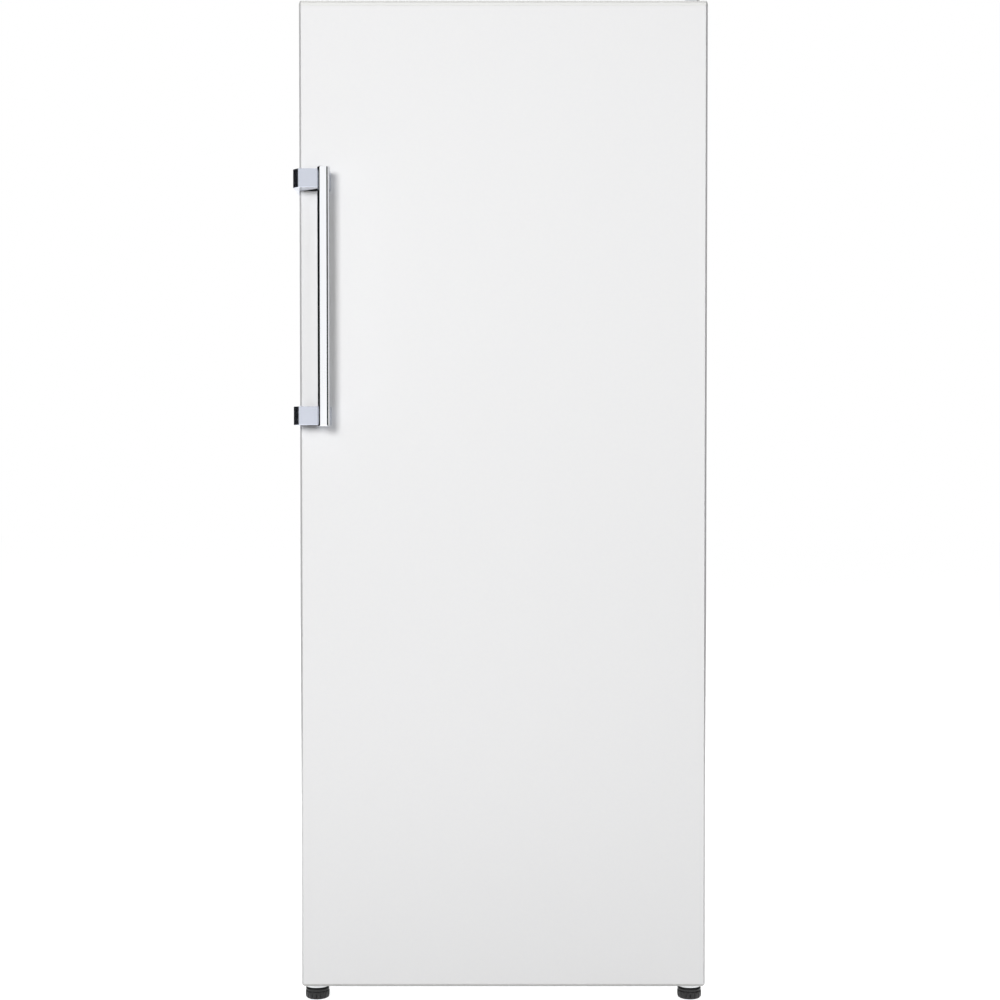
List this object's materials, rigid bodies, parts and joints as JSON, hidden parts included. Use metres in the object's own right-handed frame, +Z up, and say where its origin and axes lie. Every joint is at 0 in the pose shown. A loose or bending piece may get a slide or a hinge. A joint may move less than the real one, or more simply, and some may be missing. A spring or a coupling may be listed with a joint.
{
  "type": "upright freezer",
  "caption": "Tall white single-door upright freezer with a chrome bar handle at the left, front levelling feet and wire evaporator shelves inside.",
  "frame": {"origin": "middle of the freezer's footprint on the floor", "axes": "+Z up, +X to the right when facing the door, +Y from the door towards the back"},
  "size_m": [0.6049, 0.6997, 1.493],
  "materials": {
    "black_enamel": "semi-gloss",
    "black_moulding": "moulded",
    "black_rubber": "moulded",
    "copper": "drawn",
    "foam": "cell foam",
    "polished_chrome": "polished",
    "satin_chrome": "satin",
    "white_enamel": "smooth baked enamel",
    "white_liner": "vacuum formed, soft gloss",
    "white_moulding": "smooth moulded",
    "white_rubber": "soft extrusion",
    "white_wire": "powder coated",
    "zinc_sheet": "galvanised",
    "zinc_steel": "zinc plated"
  },
  "bodies": {
    "cabinet": {"back_panel": "zinc_sheet", "bottom_basket": "white_wire", "bottom_pan": "zinc_sheet", "compressor_bolts": "zinc_steel", "compressor_feet": "black_enamel", "compressor_grommets": "black_rubber", "compressor_shell": "black_enamel", "compressor_tray": "zinc_sheet", "condenser": "black_enamel", "condenser_brackets": "black_moulding", "condenser_outlet_tube": "black_enamel", "cord_gland": "black_moulding", "discharge_tube": "copper", "drain_plug": "white_moulding", "evaporator_link_tubes": "white_wire", "evaporator_shelf_1": "white_wire", "evaporator_shelf_2": "white_wire", "evaporator_shelf_3": "white_wire", "evaporator_shelf_4": "white_wire", "filter_dryer": "copper", "foam_insulation": "foam", "hinge_screws": "zinc_steel", "hinge_washer": "white_moulding", "inner_liner": "white_liner", "left_foot_bracket": "zinc_steel", "left_foot_stud": "zinc_steel", "lower_hinge_bracket": "zinc_steel", "lower_hinge_pin": "zinc_steel", "outer_wrap": "white_enamel", "roller_axles": "zinc_steel", "roller_bracket_left": "zinc_steel", "roller_bracket_right": "zinc_steel", "shelf_clips": "white_moulding", "suction_tube": "copper", "terminal_cover": "black_moulding", "thermostat_housing": "white_moulding", "upper_hinge_bracket": "zinc_steel", "upper_hinge_cover": "white_moulding", "upper_hinge_pin": "zinc_steel"},
    "door": {"door_bottom_cap": "white_moulding", "door_foam": "foam", "door_gasket": "white_rubber", "door_liner": "white_liner", "door_skin": "white_enamel", "door_top_cap": "white_moulding", "handle_bar": "polished_chrome", "handle_block_lower": "satin_chrome", "handle_block_upper": "satin_chrome", "lower_hinge_bush": "white_moulding", "rack_rail_1": "white_moulding", "rack_rail_2": "white_moulding", "rack_rail_3": "white_moulding", "rack_rail_4": "white_moulding", "rack_rail_5": "white_moulding", "upper_hinge_bush": "white_moulding"},
    "right_foot": {"right_levelling_foot": "black_moulding"},
    "left_foot": {"left_levelling_foot": "black_moulding"},
    "right_roller": {"rear_roller_right": "black_moulding"},
    "left_roller": {"rear_roller_left": "black_moulding"},
    "dial": {"thermostat_dial": "white_moulding"}
  },
  "joints": [
    {"name": "door_hinge", "type": "hinge", "parent": "cabinet", "child": "door", "pos_m": [0.279, -0.265, 0.75], "axis": [0, 0, 1], "range_deg": [0, 120]},
    {"name": "thermostat_turn", "type": "hinge", "parent": "cabinet", "child": "dial", "pos_m": [0.205, -0.076, 1.31], "axis": [1, 0, 0], "range_deg": [0, 300]},
    {"name": "right_foot_height", "type": "slide", "parent": "cabinet", "child": "right_foot", "axis": [0, 0, -1], "range_m": [0, 0.01]},
    {"name": "left_foot_height", "type": "slide", "parent": "cabinet", "child": "left_foot", "axis": [0, 0, -1], "range_m": [0, 0.01]},
    {"name": "right_roller_spin", "type": "hinge", "parent": "cabinet", "child": "right_roller", "pos_m": [0.255, 0.29, 0.02], "axis": [1, 0, 0], "continuous": true},
    {"name": "left_roller_spin", "type": "hinge", "parent": "cabinet", "child": "left_roller", "pos_m": [-0.255, 0.29, 0.02], "axis": [1, 0, 0], "continuous": true}
  ]
}
